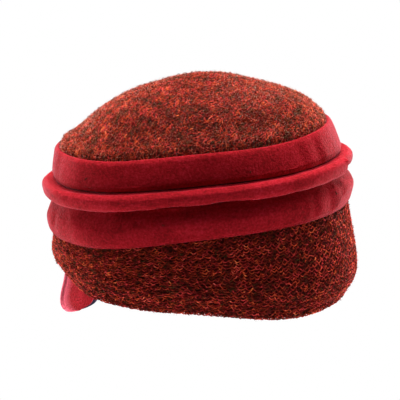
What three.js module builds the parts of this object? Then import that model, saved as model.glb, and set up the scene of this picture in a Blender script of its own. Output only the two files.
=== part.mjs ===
// A soft wool hat: a domed crown and a deep brim of boucle wool, a two-part felt band with a rolled tuck
// between its halves, and a folded felt tab with a navy insert that hangs from under the band at the back.
// Millimetres, +Z up, +X towards the deep end of the brim. The origin is where the top of the head bears
// on the inside of the crown.
import * as THREE from "three";
import { mergeVertices } from "three/addons/utils/BufferGeometryUtils.js";

// Driving sizes
const facetsRound = 48; // facets round the head
const gap = 0.3; // clearance between pieces that are sewn or laid together
const crownWall = 3; // one layer of boucle wool
const brimWall = 5; // the same wool folded double at the rim
const tuckAbove = 5.2; // how far the rolled tuck reaches above its level
const tuckBelow = 6.6;
const footTurn = 1.6; // how far the band's rounded lower edge reaches below its level
const feltLeaf = 1.3; // one leaf of the tab
const insertThickness = 1;
const slotGap = 0.3; // room between the insert and each leaf
const tabEdge = THREE.MathUtils.degToRad(131.5); // where the tab's open edge hangs, seen from above
const tabCurve = 100; // radius of the brim that the tab follows
const tabLean = 0.11; // how far the tab swings outwards for each millimetre that it hangs
const squareness = 2.25; // 2 would make every level an ellipse

// The outer face of the wool, level by level from the rim up. back and front are where it crosses the X
// axis, side is its half width along Y, and zBack and zFront are its heights at the back and the front.
// sagBack and sagFront lower it over the ears.
const levels = {
  rim: { back: -101, front: 95, side: 86, zBack: -134.5, zFront: -147, sagBack: 6.6, sagFront: 7.4 },
  belly: { back: -109.5, front: 102.5, side: 90, zBack: -121, zFront: -128.5, sagBack: 3, sagFront: 3 },
  foot: { back: -108.5, front: 94.5, side: 87, zBack: -103, zFront: -81.5, sagBack: 4.5, sagFront: 1.5 },
  waist: { back: -106.5, front: 91, side: 85, zBack: -82, zFront: -63.5, sagBack: 2.5, sagFront: 1.5 },
  seam: { back: -103.5, front: 79, side: 82, zBack: -47.5, zFront: -29.5, sagBack: 4, sagFront: 3.5 },
  haunch: { back: -89, front: 72, side: 71, zBack: -33.5, zFront: -19, sagBack: 1.5, sagFront: 1 },
  shoulder: { back: -70, front: 58, side: 57.5, zBack: -18, zFront: -10.5, sagBack: 0, sagFront: 0 },
  top: { back: -37, front: 32, side: 31, zBack: -3, zFront: -3, sagBack: 0, sagFront: 0 },
  apex: { back: 0, front: 0, side: 0, zBack: crownWall, zFront: crownWall, sagBack: 0, sagFront: 0 },
};
const rows = Object.values(levels);
const at = Object.fromEntries(Object.keys(levels).map((name, index) => [name, index]));
const tuckLevel = at.waist + 0.24;

// Where the two sags of each side are deepest, seen from above, and how far each reaches.
const sagBackAngle = THREE.MathUtils.degToRad(125);
const sagFrontAngle = THREE.MathUtils.degToRad(60);
const sagReach = THREE.MathUtils.degToRad(34);

// The felt band's sections: rows run up the outer face and down the inner one. out is the distance from the
// wool's face and along is the distance up it.
const bandUpperSection = [
  { level: tuckLevel, out: gap, along: tuckAbove + gap },
  { level: tuckLevel, out: 4.3, along: tuckAbove + gap },
  { level: at.seam - 0.5, out: 4.6, along: 0 },
  { level: at.seam - 0.25, out: 4.5, along: 0 },
  { level: at.seam, out: 4, along: -3.4 },
  { level: at.seam, out: 3.3, along: -1 },
  { level: at.seam, out: 2.3, along: 0 },
  { level: at.seam, out: 1.2, along: -0.3 },
  { level: at.seam, out: gap, along: -1.6 },
  { level: at.seam - 0.25, out: gap, along: 0 },
  { level: at.seam - 0.5, out: gap, along: 0 },
];
const pipingSection = [
  { level: tuckLevel, out: gap, along: -tuckBelow },
  { level: tuckLevel, out: 3.5, along: -tuckBelow },
  { level: tuckLevel, out: 6.5, along: -5.8 },
  { level: tuckLevel, out: 9.2, along: -3 },
  { level: tuckLevel, out: 10.4, along: 0.6 },
  { level: tuckLevel, out: 9.8, along: 3.6 },
  { level: tuckLevel, out: 7.5, along: tuckAbove },
  { level: tuckLevel, out: gap, along: tuckAbove },
];
const bandLowerSection = [
  { level: at.foot, out: gap, along: -footTurn },
  { level: at.foot, out: 2.2, along: -1.2 },
  { level: at.foot, out: 3.2, along: 0 },
  { level: at.foot + 0.12, out: 4.3, along: 0 },
  { level: at.foot + 0.32, out: 5.3, along: 0 },
  { level: at.foot + 0.52, out: 5.5, along: 0 },
  { level: at.foot + 0.72, out: 4.8, along: 0 },
  { level: at.foot + 0.9, out: 3.7, along: 0 },
  { level: tuckLevel, out: 3, along: -tuckBelow - gap },
  { level: tuckLevel, out: gap, along: -tuckBelow - gap },
  { level: at.waist, out: gap, along: 0 },
  { level: at.foot + 0.5, out: gap, along: 0 },
];

// The tab from its sewn end to its tip: the level of the wool that it lies on, how far it hangs below that
// level, and how far round from tabEdge its fold and its open edge are.
const tabRows = [
  { level: at.foot, drop: footTurn + gap, fold: 36, edge: 2 },
  { level: at.foot - 0.3, drop: 0, fold: 38, edge: 1 },
  { level: at.foot - 0.65, drop: 0, fold: 39.5, edge: 0.5 },
  { level: at.belly, drop: 0, fold: 40.5, edge: 0 },
  { level: at.belly, drop: 12, fold: 41.5, edge: 0 },
  { level: at.belly, drop: 24, fold: 41.5, edge: 0 },
  { level: at.belly, drop: 32, fold: 42.5, edge: 0 },
  { level: at.belly, drop: 38, fold: 44.3, edge: 0.2 },
  { level: at.belly, drop: 43, fold: 45.4, edge: 0.8 },
  { level: at.belly, drop: 47, fold: 45, edge: 1.6 },
  { level: at.belly, drop: 50.5, fold: 43.5, edge: 2.8 },
  { level: at.belly, drop: 53.6, fold: 40.6, edge: 5 },
  { level: at.belly, drop: 55.4, fold: 38, edge: 8 },
  { level: at.belly, drop: 56.8, fold: 35.4, edge: 12.5 },
  { level: at.belly, drop: 57.7, fold: 32.6, edge: 17.5 },
  { level: at.belly, drop: 58.3, fold: 29.6, edge: 22.5 },
];
const pinch = 0.2; // radius of the slot at the fold, where the felt is pressed together
const taper = 4; // the slot opens to its full width this far from the fold
const insertStart = 6; // the insert begins this far inside the fold
const insertShows = { inner: 5.8, outer: 1 }; // how far the navy insert stands out past each leaf's open edge

// One column of the level table at any height, on a Catmull-Rom curve through the levels.
function column(key, height) {
  const last = rows.length - 1;
  const low = Math.min(Math.floor(height), last - 1);
  const opposite = { back: "front", front: "back", zBack: "zFront", zFront: "zBack" };
  const value = (index) => {
    if (index < 0) return 2 * rows[0][key] - rows[1][key];
    if (index <= last) return rows[index][key];
    return (key === "side" ? -1 : 1) * rows[2 * last - index][opposite[key] ?? key];
  };
  const [before, from, to, after] = [-1, 0, 1, 2].map((step) => value(low + step));
  const t = height - low;
  const slopeFrom = (to - before) / 2;
  const slopeTo = (after - from) / 2;
  const bend = 3 * (to - from) - 2 * slopeFrom - slopeTo;
  const twist = slopeFrom + slopeTo - 2 * (to - from);
  return from + slopeFrom * t + bend * t ** 2 + twist * t ** 3;
}

function signedPower(value, power) {
  return Math.sign(value) * Math.abs(value) ** power;
}

// A point of the wool's outer face. Angle 0 is the front and a quarter turn is the far side.
function woolPoint(angle, height) {
  const across = signedPower(Math.cos(angle), 2 / squareness);
  const [back, front] = [column("back", height), column("front", height)];
  const [zBack, zFront] = [column("zBack", height), column("zFront", height)];
  const fromFront = Math.acos(Math.min(1, Math.max(-1, Math.cos(angle))));
  const sag =
    column("sagBack", height) * Math.exp(-(((fromFront - sagBackAngle) / sagReach) ** 2)) +
    column("sagFront", height) * Math.exp(-(((fromFront - sagFrontAngle) / sagReach) ** 2));
  return new THREE.Vector3(
    (front + back) / 2 + ((front - back) / 2) * across,
    column("side", height) * signedPower(Math.sin(angle), 2 / squareness),
    (zFront + zBack) / 2 + ((zFront - zBack) / 2) * across - sag,
  );
}

// The directions up the wall and out of it.
function wallDirections(angle, height) {
  const step = 0.02;
  if (height >= at.apex) return { up: new THREE.Vector3(1, 0, 0), out: new THREE.Vector3(0, 0, 1) };
  const above = woolPoint(angle, Math.min(at.apex, height + step));
  const below = woolPoint(angle, Math.max(0, height - step));
  const round = woolPoint(angle + step, height).sub(woolPoint(angle - step, height));
  const up = above.sub(below).normalize();
  return { up, out: round.cross(up).normalize() };
}

// The point of one row of a section at an angle round the hat.
function wallPoint(angle, { level, out, along }) {
  const directions = wallDirections(angle, level);
  return woolPoint(angle, level)
    .addScaledVector(directions.out, out)
    .addScaledVector(directions.up, along);
}

// Welds the points and leaves out the triangles that a pole has closed up.
function closedSolid(points, triangles) {
  const geometry = new THREE.BufferGeometry().setFromPoints(points);
  geometry.setIndex(triangles);
  const welded = mergeVertices(geometry, 1e-3);
  const corners = welded.index.array;
  const kept = [];
  for (let i = 0; i < corners.length; i += 3) {
    const [a, b, c] = corners.slice(i, i + 3);
    if (a !== b && b !== c && c !== a) kept.push(a, b, c);
  }
  welded.setIndex(kept);
  return welded;
}

// A ring round the hat whose closed section runs up the outer face and down the inner one.
function ring(section) {
  const size = section.length;
  const points = [];
  const triangles = [];
  for (let i = 0; i < facetsRound; i += 1) {
    const angle = (i / facetsRound) * 2 * Math.PI;
    points.push(...section.map((row) => wallPoint(angle, row)));
    const here = i * size;
    const next = ((i + 1) % facetsRound) * size;
    for (let j = 0; j < size; j += 1) {
      const up = (j + 1) % size;
      triangles.push(here + j, next + j, next + up, here + j, next + up, here + up);
    }
  }
  return closedSolid(points, triangles);
}

// Rows of a section from one level to another at a distance from the wool's face.
function faceRows(from, to, out, steps) {
  return Array.from({ length: steps + 1 }, (_, k) => {
    const level = from + ((to - from) * k) / steps;
    return { level, out, along: 0 };
  });
}

// Rows of a rounded lower edge between a wall's inner and outer face.
function roundedEdge(level, wall, steps) {
  return Array.from({ length: steps - 1 }, (_, k) => {
    const turn = ((k + 1) / steps) * Math.PI;
    return { level, out: -wall / 2 - (wall / 2) * Math.cos(turn), along: (-wall / 2) * Math.sin(turn) };
  });
}

function crown() {
  const butt = { level: at.waist, along: gap / 2 };
  const skirt = { from: at.waist + 0.25, to: at.seam, steps: 3 };
  const dome = { from: at.seam + 0.33, to: at.apex, steps: 11 };
  return ring([
    { ...butt, out: -crownWall },
    { ...butt, out: 0 },
    ...faceRows(skirt.from, skirt.to, 0, skirt.steps),
    ...faceRows(dome.from, dome.to, 0, dome.steps),
    ...faceRows(dome.to, dome.from, -crownWall, dome.steps),
    ...faceRows(skirt.to, skirt.from, -crownWall, skirt.steps),
  ]);
}

function brim() {
  const butt = { level: at.waist, along: -gap / 2 };
  const curl = { from: at.rim, to: at.belly, steps: 4 };
  const wall = { from: at.belly + 0.33, to: at.foot, steps: 2 };
  const under = { level: at.foot + 0.5, along: 0 };
  return ring([
    ...roundedEdge(at.rim, brimWall, 4),
    ...faceRows(curl.from, curl.to, 0, curl.steps),
    ...faceRows(wall.from, wall.to, 0, wall.steps),
    { ...under, out: 0 },
    { ...butt, out: 0 },
    { ...butt, out: -crownWall },
    { ...under, out: -brimWall },
    ...faceRows(wall.to, wall.from, -brimWall, wall.steps),
    ...faceRows(curl.to, curl.from, -brimWall, curl.steps),
  ]);
}

// A point of the tab: inwards is measured from its open edge towards its fold, and out from the wool.
function tabPoint({ level, drop }, inwards, out) {
  const angle = tabEdge + inwards / tabCurve;
  const outwards = wallDirections(angle, level).out.setZ(0).normalize();
  return wallPoint(angle, { level, out, along: 0 })
    .addScaledVector(outwards, tabLean * drop)
    .add(new THREE.Vector3(0, 0, -drop));
}

// A solid through anticlockwise sections, one for each tab row from the top down. The first half of a
// section is one face of the felt and the second half is the other face, run backwards, so that each cap is
// a strip between them.
function loft(sections, place) {
  const size = sections[0].length;
  const points = sections.flatMap((section, row) => section.map(({ x, y }) => place(row, x, y)));
  const triangles = [];
  for (let row = 0; row + 1 < sections.length; row += 1) {
    for (let j = 0; j < size; j += 1) {
      const here = row * size + j;
      const side = row * size + ((j + 1) % size);
      triangles.push(here, side + size, side, here, here + size, side + size);
    }
  }
  const end = (sections.length - 1) * size;
  for (let j = 0; j + 1 < size / 2; j += 1) {
    const across = size - 1 - j;
    triangles.push(j, j + 1, across - 1, j, across - 1, across);
    triangles.push(end + across - 1, end + j + 1, end + j, end + across, end + across - 1, end + j);
  }
  return closedSolid(points, triangles);
}

// Steps from one place to another across a leaf, close enough together for it to follow the brim's curve.
function span(from, to, steps) {
  return Array.from({ length: steps + 1 }, (_, k) => from + ((to - from) * k) / steps);
}

// The section of the folded felt: two leaves joined by a pressed fold, with a slot for the insert between them.
function foldedSection({ fold, edge }) {
  const slot = insertThickness + 2 * slotGap;
  const flatRise = (feltLeaf + slot) / 2;
  const foldRise = feltLeaf / 2 + pinch;
  const centre = fold - feltLeaf / 2 - foldRise;
  const share = THREE.MathUtils.clamp((fold - edge - 6) / 16, 0.1, 1);
  const leafLine = (shows, side) => {
    const start = edge + share * shows;
    const narrow = Math.max(start, centre - taper);
    const places = [...span(start, narrow, 4).slice(0, -1), ...span(narrow, centre, 3)];
    return places.map((inwards) => {
      const fall = THREE.MathUtils.clamp((centre - inwards) / taper, 0, 1);
      const rise = flatRise + ((foldRise - flatRise) * (1 + Math.cos(Math.PI * fall))) / 2;
      return new THREE.Vector2(inwards, side * rise);
    });
  };
  const foldSteps = 6;
  const bend = Array.from({ length: foldSteps - 1 }, (_, k) => {
    const turn = (0.5 + (k + 1) / foldSteps) * Math.PI;
    return new THREE.Vector2(centre - foldRise * Math.cos(turn), foldRise * Math.sin(turn));
  });
  const line = [...leafLine(insertShows.outer, 1), ...bend, ...leafLine(insertShows.inner, -1).reverse()];
  const skin = (side) =>
    line.map((point, k) => {
      const along = line[Math.min(k + 1, line.length - 1)].clone().sub(line[Math.max(k - 1, 0)]).normalize();
      return new THREE.Vector2(
        point.x - (side * along.y * feltLeaf) / 2,
        point.y + (side * along.x * feltLeaf) / 2 + feltLeaf + slot / 2,
      );
    });
  return [...skin(1), ...skin(-1).reverse()];
}

function insertSection({ fold, edge }) {
  const low = feltLeaf + slotGap;
  const places = span(edge, fold - insertStart, 5);
  return [
    ...places.map((x) => new THREE.Vector2(x, low + insertThickness)),
    ...places.reverse().map((x) => new THREE.Vector2(x, low)),
  ];
}

function tab() {
  return loft(tabRows.map(foldedSection), (row, x, y) => tabPoint(tabRows[row], x, gap + y));
}

function tabInsert() {
  const covered = tabRows.slice(1, -1);
  return loft(covered.map(insertSection), (row, x, y) => tabPoint(covered[row], x, gap + y));
}

const finishes = {
  boucle: { color: 0x6a2417, roughness: 1, metalness: 0 },
  felt: { color: 0x8c141c, roughness: 0.95, metalness: 0 },
  navyFelt: { color: 0x1a1526, roughness: 0.95, metalness: 0 },
};

const pieces = [
  { name: "crown", finish: "boucle", geometry: crown() },
  { name: "brim", finish: "boucle", geometry: brim() },
  { name: "band_upper", finish: "felt", geometry: ring(bandUpperSection) },
  { name: "piping", finish: "felt", geometry: ring(pipingSection) },
  { name: "band_lower", finish: "felt", geometry: ring(bandLowerSection) },
  { name: "tab", finish: "felt", geometry: tab() },
  { name: "tab_insert", finish: "navyFelt", geometry: tabInsert() },
];

const hat = new THREE.Group();
pieces.forEach(({ name, finish, geometry }) => {
  const mesh = new THREE.Mesh(geometry, new THREE.MeshStandardMaterial(finishes[finish]));
  mesh.name = name;
  hat.add(mesh);
});

export default hat;
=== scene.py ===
import math
import bmesh
import bpy
import numpy as np
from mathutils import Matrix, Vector


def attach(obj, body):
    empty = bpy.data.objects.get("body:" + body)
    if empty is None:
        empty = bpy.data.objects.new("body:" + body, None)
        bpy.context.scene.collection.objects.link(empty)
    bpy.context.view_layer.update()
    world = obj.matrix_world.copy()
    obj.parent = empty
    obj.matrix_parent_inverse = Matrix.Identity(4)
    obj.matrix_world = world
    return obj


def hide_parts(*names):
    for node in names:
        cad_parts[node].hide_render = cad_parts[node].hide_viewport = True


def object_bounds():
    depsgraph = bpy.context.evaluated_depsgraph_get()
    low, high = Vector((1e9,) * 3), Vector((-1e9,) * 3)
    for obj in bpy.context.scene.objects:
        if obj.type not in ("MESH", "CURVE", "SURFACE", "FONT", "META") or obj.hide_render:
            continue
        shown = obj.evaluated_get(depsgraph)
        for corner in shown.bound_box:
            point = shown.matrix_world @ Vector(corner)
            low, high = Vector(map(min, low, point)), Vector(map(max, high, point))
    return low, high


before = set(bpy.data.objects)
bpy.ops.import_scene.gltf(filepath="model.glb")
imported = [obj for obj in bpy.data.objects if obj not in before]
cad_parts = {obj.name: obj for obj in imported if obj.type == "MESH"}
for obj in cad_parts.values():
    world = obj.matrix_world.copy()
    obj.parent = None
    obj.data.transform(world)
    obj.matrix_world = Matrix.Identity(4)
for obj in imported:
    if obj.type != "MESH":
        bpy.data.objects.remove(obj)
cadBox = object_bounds()
mm = 0.001
weldDistance = 1e-6
leastMove = 1e-9  # keeps a point that hasn't moved from dividing by nothing


cameraSettings = {
    "distance": 1.3,
    "elevation": 11,  # degrees above the hat
    "viewWidth": 0.28,  # what the picture takes in at the hat
    "sensor": 36,
    "aim": (-0.0073, 0.0, -0.0870),
}


def link(name, data):
    piece = bpy.data.objects.new(name, data)
    bpy.context.collection.objects.link(piece)
    return piece


def makeCamera(settings):
    aim = Vector(settings["aim"])
    data = bpy.data.cameras.new("camera")
    data.sensor_width = settings["sensor"]
    data.lens = settings["sensor"] * settings["distance"] / settings["viewWidth"]
    data.clip_end = 50
    camera = link("camera", data)
    tilt = math.radians(settings["elevation"])
    back = Vector((0, -math.cos(tilt), math.sin(tilt))) * settings["distance"]
    camera.location = aim + back
    camera.rotation_euler = (math.pi / 2 - tilt, 0, 0)
    bpy.context.scene.camera = camera


makeCamera(cameraSettings)
print("camera placed")


# Levels of the wool's outer face, from the rim up, in millimetres: X at the back and the front, half width,
# heights at the back and the front, and how much it sags behind and before the ears
hatLevels = {
    "rim": (-101, 95, 86, -134.5, -147, 6.6, 7.4),
    "belly": (-109.5, 102.5, 90, -121, -128.5, 3, 3),
    "foot": (-108.5, 94.5, 87, -103, -81.5, 4.5, 1.5),
    "waist": (-106.5, 91, 85, -82, -63.5, 2.5, 1.5),
    "seam": (-103.5, 79, 82, -47.5, -29.5, 4, 3.5),
    "haunch": (-89, 72, 71, -33.5, -19, 1.5, 1),
    "shoulder": (-70, 58, 57.5, -18, -10.5, 0, 0),
    "top": (-37, 32, 31, -3, -3, 0, 0),
    "apex": (0, 0, 0, 3, 3, 0, 0),
}
hatShape = {
    "squareness": 2.25,
    "sagBackAngle": math.radians(125),
    "sagFrontAngle": math.radians(60),
    "sagReach": math.radians(34),
    "tuckRise": 0.24,  # the rolled tuck's level above the waist
    "dentDepth": 0.9,  # soft unevenness of the shape that use has given it
    "dentWaves": (  # how fast each wave turns along X, Y and Z, and where it starts
        (0.047, 0.031, 0.052, 0.4), (-0.083, 0.061, 0.071, 2.1), (0.11, -0.094, 0.128, 4.4),
    ),
}
at = {name: index for index, name in enumerate(hatLevels)}
tuckLevel = at["waist"] + hatShape["tuckRise"]


def levelTable():
    rows = np.array(list(hatLevels.values()), float)
    below = 2 * rows[0] - rows[1]
    back, front, side, zBack, zFront, sagBack, sagFront = rows[-2]
    beyond = [front, back, -side, zFront, zBack, sagBack, sagFront]  # past the apex, down the other side
    return np.vstack([below, rows, beyond])


levelRows = levelTable()


def signedPower(value, power):
    return np.sign(value) * np.abs(value) ** power


def bell(distance, reach):
    return np.exp(-((distance / reach) ** 2))


def curveThrough(p, f):
    # a Catmull-Rom curve between the middle two of four points
    return 0.5 * (2 * p[1] + (p[2] - p[0]) * f + (2 * p[0] - 5 * p[1] + 4 * p[2] - p[3]) * f ** 2
                  + (3 * p[1] - p[0] - 3 * p[2] + p[3]) * f ** 3)


def woolPoint(angle, height):
    # a point of the wool's smooth outer face, in millimetres
    angle, height = np.broadcast_arrays(np.asarray(angle, float), np.asarray(height, float))
    low = np.clip(np.floor(height).astype(int), 0, at["apex"] - 1)
    t = (height - low)[..., None]
    before, start, end, after = (levelRows[low + step] for step in range(4))
    slopeStart = (end - before) / 2
    slopeEnd = (after - start) / 2
    bend = 3 * (end - start) - 2 * slopeStart - slopeEnd
    twist = slopeStart + slopeEnd - 2 * (end - start)
    row = start + slopeStart * t + bend * t ** 2 + twist * t ** 3
    back, front, side, zBack, zFront, sagBack, sagFront = np.moveaxis(row, -1, 0)
    across = signedPower(np.cos(angle), 2 / hatShape["squareness"])
    fromFront = np.arccos(np.clip(np.cos(angle), -1, 1))
    sag = sagBack * bell(fromFront - hatShape["sagBackAngle"], hatShape["sagReach"])
    sag = sag + sagFront * bell(fromFront - hatShape["sagFrontAngle"], hatShape["sagReach"])
    return np.stack([
        (front + back) / 2 + (front - back) / 2 * across,
        side * signedPower(np.sin(angle), 2 / hatShape["squareness"]),
        (zFront + zBack) / 2 + (zFront - zBack) / 2 * across - sag,
    ], -1)


def dents(point):
    # slow waves at a few slants, so that no two sides of the hat are quite alike
    x, y, z = np.moveaxis(point, -1, 0)
    waves = hatShape["dentWaves"]
    total = sum(np.sin(a * x + b * y + c * z + start) for a, b, c, start in waves)
    return total / len(waves)


def unit(vectors):
    return vectors / np.linalg.norm(vectors, axis=-1, keepdims=True)


def wallPoint(angle, level, out=0.0, along=0.0):
    # a point in metres, out from the wool's face and along it
    step = 0.02
    values = (np.asarray(value, float) for value in (angle, level, out, along))
    angle, level, out, along = np.broadcast_arrays(*values)
    level = np.minimum(level, at["apex"] - 0.001)  # at the apex itself the face has no sideways direction
    point = woolPoint(angle, level)
    higher, lower = np.minimum(at["apex"], level + step), np.maximum(0, level - step)
    up = unit(woolPoint(angle, higher) - woolPoint(angle, lower))
    outwards = unit(np.cross(woolPoint(angle + step, level) - woolPoint(angle - step, level), up))
    lift = out + hatShape["dentDepth"] * dents(point)
    return (point + outwards * lift[..., None] + up * along[..., None]) * mm


def newPiece(name, vertices, faces, smooth=True):
    mesh = bpy.data.meshes.new(name)
    mesh.from_pydata([tuple(v) for v in vertices], [], faces)
    mesh.validate()
    mesh.update()
    for polygon in mesh.polygons:
        polygon.use_smooth = smooth
    return link(name, mesh)


def gridFaces(columns, rows, ring=False, closed=False):
    # quads between columns of points, joined into a ring or with each column closed, or not
    i, j = np.meshgrid(np.arange(columns - 1 + ring), np.arange(rows - 1 + closed), indexing="ij")
    beside, up = (i + 1) % columns, (j + 1) % rows
    corners = [i * rows + j, beside * rows + j, beside * rows + up, i * rows + up]
    return np.stack(corners, -1).reshape(-1, 4).tolist()


def smoothSection(section, steps):
    # a closed section through its rows, evenly stepped along a Catmull-Rom curve
    rows = np.array(section, float)
    count = len(rows)
    t = np.arange(count * steps) / steps
    low = np.floor(t).astype(int)
    return curveThrough([rows[(low + k) % count] for k in (-1, 0, 1, 2)], (t - low)[:, None])


def ringPiece(name, section, around, shaping=None, extra=()):
    # the section swept round the hat, at even angles and any extra ones
    angles = np.concatenate([np.arange(around) / around * 2 * math.pi, np.mod(extra, 2 * math.pi)])
    angles = np.unique(angles.round(7))
    rows = np.asarray(section, float)
    level, out, along = np.broadcast_arrays(*(rows[None, :, k] for k in range(3)), angles[:, None])[:3]
    if shaping:
        out, along = shaping(angles[:, None], out, along)
    points = wallPoint(angles[:, None], level, out, along)
    faces = gridFaces(len(angles), len(rows), ring=True, closed=True)
    piece = newPiece(name, points.reshape(-1, 3), faces)
    piece.data.attributes.new("reach", "FLOAT", "POINT").data.foreach_set("value", out.ravel())
    return piece


def addNode(tree, kind, values=(), **facts):
    node = tree.nodes.new(kind)
    for key, value in facts.items():
        setattr(node, key, value)
    for key, value in dict(values).items():
        if isinstance(value, bpy.types.NodeSocket):
            tree.links.new(value, node.inputs[key])
        else:
            node.inputs[key].default_value = value
    return node


def field(tree, kind, values=(), **facts):
    return addNode(tree, kind, values, **facts).outputs[0]


def maths(tree, operation, a, b=0.0, c=0.0):
    return field(tree, "ShaderNodeMath", {0: a, 1: b, 2: c}, operation=operation)


def product(tree, a, b):
    return maths(tree, "MULTIPLY", a, b)


def total(tree, a, b):
    return maths(tree, "ADD", a, b)


def multiplyAdd(tree, a, b, c):
    return maths(tree, "MULTIPLY_ADD", a, b, c)


def scaled(tree, vector, factor):
    return field(tree, "ShaderNodeVectorMath", {0: vector, "Scale": factor}, operation="SCALE")


def newTree(name, **sockets):
    # the names of the inputs under each kind, beside the two that every tree has
    tree = bpy.data.node_groups.new(name, "GeometryNodeTree")
    tree.interface.new_socket("Geometry", in_out="OUTPUT", socket_type="NodeSocketGeometry")
    for kind, labels in {"Geometry": ["Geometry"], **sockets, "Material": ["Material"]}.items():
        for label in labels:
            tree.interface.new_socket(label, in_out="INPUT", socket_type="NodeSocket" + kind)
    entry = addNode(tree, "NodeGroupInput")
    return tree, {socket.name: socket for socket in entry.outputs if socket.name}


def finishTree(tree, geometry, material):
    real = field(tree, "GeometryNodeRealizeInstances", {"Geometry": geometry})
    painted = field(tree, "GeometryNodeSetMaterial", {"Geometry": real, "Material": material})
    addNode(tree, "NodeGroupOutput", {0: painted})
    return tree


def evaluated(piece):
    bpy.context.view_layer.update()
    return piece.evaluated_get(bpy.context.evaluated_depsgraph_get())


def bakedMesh(name, carrier):
    mesh = bpy.data.meshes.new_from_object(evaluated(carrier))
    mesh.name = name
    return mesh


def grow(name, carrier, tree, values):
    # the tree's result on the carrier, as a plain mesh piece
    modifier = carrier.modifiers.new("grow", "NODES")
    modifier.node_group = tree
    for item in tree.interface.items_tree:
        if item.in_out == "INPUT" and item.name in values:
            modifier[item.identifier] = values[item.name]
    mesh = bakedMesh(name, carrier)
    carrier.modifiers.remove(modifier)
    piece = link(name, mesh)
    print(name, "has", sum(len(p.vertices) - 2 for p in mesh.polygons), "triangles")
    return piece


def dropCarrier(carrier):
    mesh = carrier.data
    bpy.data.objects.remove(carrier)
    bpy.data.meshes.remove(mesh)


clothFinish = {  # what every cloth starts from; a look may say otherwise
    "roughness": 0.95,
    "specular": 0.08,
    "sheen": 0.0,
    "sheenTint": (1, 1, 1, 1),
    "sheenRoughness": 0.5,
}


def newMaterial(name, look):
    finish = {**clothFinish, **look}
    material = bpy.data.materials.new(name)
    material.use_nodes = True
    tree = material.node_tree
    shader = tree.nodes["Principled BSDF"]
    for key, socket in (
        ("roughness", "Roughness"), ("specular", "Specular IOR Level"), ("sheen", "Sheen Weight"),
        ("sheenRoughness", "Sheen Roughness"), ("sheenTint", "Sheen Tint"),
    ):
        shader.inputs[socket].default_value = finish[key]
    return material, tree, shader


def ramp(tree, factor, stops):
    node = addNode(tree, "ShaderNodeValToRGB", {0: factor})
    elements = node.color_ramp.elements
    while len(elements) < len(stops):
        elements.new(0.5)
    for element, (place, colour) in zip(elements, stops):
        element.position = place
        element.color = (*colour, 1)
    return node.outputs["Color"]


def noise(tree, where, scale, detail=2.0, roughness=0.5, result="Fac"):
    return addNode(tree, "ShaderNodeTexNoise", {
        "Vector": where, "Scale": scale, "Detail": detail, "Roughness": roughness,
    }).outputs[result]


def mixColours(tree, factor, first, second):
    return addNode(tree, "ShaderNodeMix", {0: factor, 6: first, 7: second}, data_type="RGBA").outputs[2]


def objectPlace(tree):
    return addNode(tree, "ShaderNodeTexCoord").outputs["Object"]


def attributeShade(tree, name):
    return addNode(tree, "ShaderNodeAttribute", attribute_name=name).outputs["Fac"]


def roughen(tree, shader, strength, depth, height):
    bump = field(tree, "ShaderNodeBump", {"Strength": strength, "Distance": depth, "Height": height})
    tree.links.new(bump, shader.inputs["Normal"])


feltLook = {
    "dark": (0.18, 0.003, 0.005),
    "middle": (0.30, 0.0045, 0.009),
    "light": (0.42, 0.011, 0.023),
    "places": (0.36, 0.5, 0.66),  # where the dark, middle and light reds lie
    "clouds": 60,  # broad patches in a metre
    "specks": 650,
    "grain": 900,
    "cloudShare": 0.3,
    "specksRise": 1.2,
    "napStrength": 0.7,
    "napDepth": 0.0006,
    "sheen": 0.3,
    "sheenTint": (1.0, 0.42, 0.55, 1),
    "sheenRoughness": 0.22,
}


def feltMaterial(name, look):
    material, tree, shader = newMaterial(name, look)
    where = objectPlace(tree)
    cloudy = product(tree, noise(tree, where, look["clouds"], 3), look["cloudShare"])
    specks = noise(tree, where, look["specks"], 3, 0.6)
    mixed = total(tree, cloudy, product(tree, specks, 1 - look["cloudShare"]))
    colour = ramp(tree, mixed, list(zip(look["places"], (look["dark"], look["middle"], look["light"]))))
    # a paler pink mixed in by the tab's map: partly rubbed nap, partly painted highlight where light catches
    # the fold
    if "rubbedAndLitPink" in look:
        colour = mixColours(tree, attributeShade(tree, "rubAndHighlight"), colour, look["rubbedAndLitPink"])
    tree.links.new(colour, shader.inputs["Base Color"])
    raised = product(tree, specks, look["specksRise"])
    height = total(tree, noise(tree, where, look["grain"], 2), raised)
    roughen(tree, shader, look["napStrength"], look["napDepth"], height)
    return material


yarnLook = {
    # the shades that the yarn runs through along its length, rust in some places and crimson in others
    "rust": (
        (0.0, (0.018, 0.014, 0.004)), (0.15, (0.05, 0.028, 0.008)), (0.28, (0.11, 0.032, 0.009)),
        (0.40, (0.18, 0.018, 0.008)), (0.55, (0.32, 0.024, 0.010)), (0.70, (0.49, 0.042, 0.015)),
        (0.85, (0.65, 0.075, 0.024)), (1.0, (0.85, 0.19, 0.05)),
    ),
    "crimson": (
        (0.0, (0.014, 0.008, 0.004)), (0.15, (0.05, 0.010, 0.006)), (0.30, (0.12, 0.010, 0.007)),
        (0.45, (0.21, 0.011, 0.009)), (0.60, (0.36, 0.019, 0.017)), (0.75, (0.58, 0.036, 0.034)),
        (0.90, (0.74, 0.07, 0.056)), (1.0, (0.82, 0.12, 0.09)),
    ),
    "patch": 260,  # rust and crimson patches in a metre
    "fleck": 800,
    "fleckStrength": 0.5,
    "crimsonFrom": 0.44,  # where the patches turn from rust to crimson
    "crimsonTo": 0.59,
    "twistStrength": 0.6,
    "twistDepth": 0.0004,
    "sheenTint": (1.0, 0.47, 0.26, 1),
    "sheenRoughness": 0.3,
}
fluffLook = {"roughness": 1.0, "sheenTint": (1.0, 0.7, 0.6, 1), "sheenRoughness": 0.4}
groundLook = {
    "roughness": 1.0,
    "grain": 350,
    "grainContrast": 0.6,
    "stops": ((0.3, (0.03, 0.010, 0.006)), (0.5, (0.09, 0.012, 0.009)), (0.7, (0.19, 0.020, 0.014))),
}
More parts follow.
